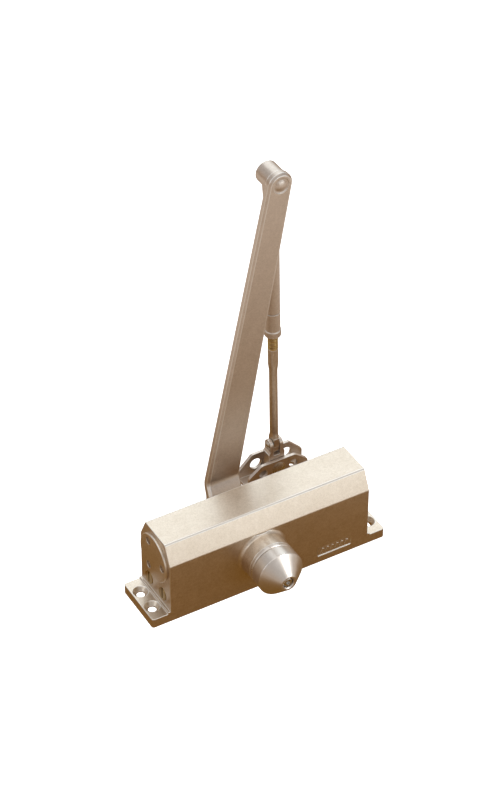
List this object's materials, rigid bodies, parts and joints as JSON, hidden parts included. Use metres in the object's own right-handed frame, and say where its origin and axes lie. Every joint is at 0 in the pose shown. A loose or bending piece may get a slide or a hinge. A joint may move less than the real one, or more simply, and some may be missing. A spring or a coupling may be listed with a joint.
{
  "type": "door closer",
  "caption": "Surface-mounted rack-and-pinion door closer: faceted body with fixing flanges, conical spindle cap, folding two-piece arm with screw-adjusted rod and a forked shoe.",
  "frame": {"origin": "centre of the flat mounting face, between the flanges", "axes": "+X along the body towards the spring end, +Y along the spindle towards the arm, +Z out of the mounting face"},
  "size_m": [0.1966, 0.1238, 0.3105],
  "materials": {
    "body_paint": "champagne metallic paint, fine flake, satin gloss",
    "arm_paint": "champagne metallic paint, satin",
    "plated_steel": "bright zinc plate",
    "passivated_rod": "yellow passivated zinc plate, rolled thread",
    "valve_brass": "turned, satin",
    "tool_steel": "ground and oiled",
    "seal_rubber": "matt black"
  },
  "bodies": {
    "housing": {"closer_body": "body_paint", "left_end_plug": "body_paint", "right_end_plug": "body_paint", "left_plug_ring": "seal_rubber", "right_plug_ring": "seal_rubber", "front_bearing": "tool_steel", "rear_bearing": "tool_steel", "front_shaft_seal": "seal_rubber", "rear_shaft_seal": "seal_rubber", "front_bearing_nut": "body_paint", "rear_bearing_nut": "body_paint", "return_spring": "tool_steel"},
    "spindle": {"pinion_shaft": "tool_steel", "pinion_cap": "body_paint", "cap_screw": "plated_steel", "main_arm": "arm_paint", "arm_washer": "plated_steel", "arm_screw": "plated_steel", "elbow_rivet": "arm_paint"},
    "piston_group": {"piston": "tool_steel", "piston_ring": "tool_steel", "check_valve_seat": "valve_brass", "check_valve_ball": "tool_steel"},
    "sweep_valve_group": {"sweep_valve": "valve_brass", "sweep_valve_ring": "seal_rubber"},
    "latch_valve_group": {"latch_valve": "valve_brass", "latch_valve_ring": "seal_rubber"},
    "forearm": {"forearm_tube": "arm_paint", "tube_bush": "arm_paint", "lock_nut": "arm_paint"},
    "rod": {"adjusting_rod": "passivated_rod"},
    "fork": {"swivel_fork": "arm_paint", "fork_pin": "plated_steel"},
    "shoe": {"shoe_bracket": "arm_paint", "swivel_rivet": "plated_steel"}
  },
  "joints": [
    {"name": "spindle_turn", "type": "hinge", "parent": "housing", "child": "spindle", "pos_m": [-0.0073, 0, 0.033], "axis": [0, 1, 0], "range_deg": [0, 160], "stiffness_Nm_per_rad": 1.5, "springref_deg": -91.67},
    {"name": "piston_slide", "type": "slide", "parent": "housing", "child": "piston_group", "axis": [1, 0, 0], "range_m": [0, 0.02513], "deforming": ["return_spring"]},
    {"name": "elbow_pivot", "type": "hinge", "parent": "spindle", "child": "forearm", "pos_m": [0.0422, 0.0552, 0.3008], "axis": [0, 1, 0], "range_deg": [-150, 60]},
    {"name": "rod_adjust", "type": "slide", "parent": "forearm", "child": "rod", "axis": [0.0225, 0, -0.9997], "range_m": [-0.02, 0.02]},
    {"name": "fork_tilt", "type": "hinge", "parent": "rod", "child": "fork", "pos_m": [0.0477, 0.0552, 0.0565], "axis": [1, 0, 0], "range_deg": [-15, 15]},
    {"name": "shoe_swivel", "type": "hinge", "parent": "fork", "child": "shoe", "pos_m": [0.0477, 0.0552, 0.0367], "axis": [0, 1, 0], "range_deg": [-60, 60]},
    {"name": "sweep_valve_turn", "type": "hinge", "parent": "housing", "child": "sweep_valve_group", "pos_m": [-0.0833, -0.01, 0.0177], "axis": [-1, 0, 0], "range_deg": [-360, 360]},
    {"name": "latch_valve_turn", "type": "hinge", "parent": "housing", "child": "latch_valve_group", "pos_m": [-0.0833, 0.01, 0.0177], "axis": [-1, 0, 0], "range_deg": [-360, 360]}
  ],
  "couplings": [
    {"joint": "piston_slide", "follows": "spindle_turn", "m_per_rad": 0.009}
  ]
}
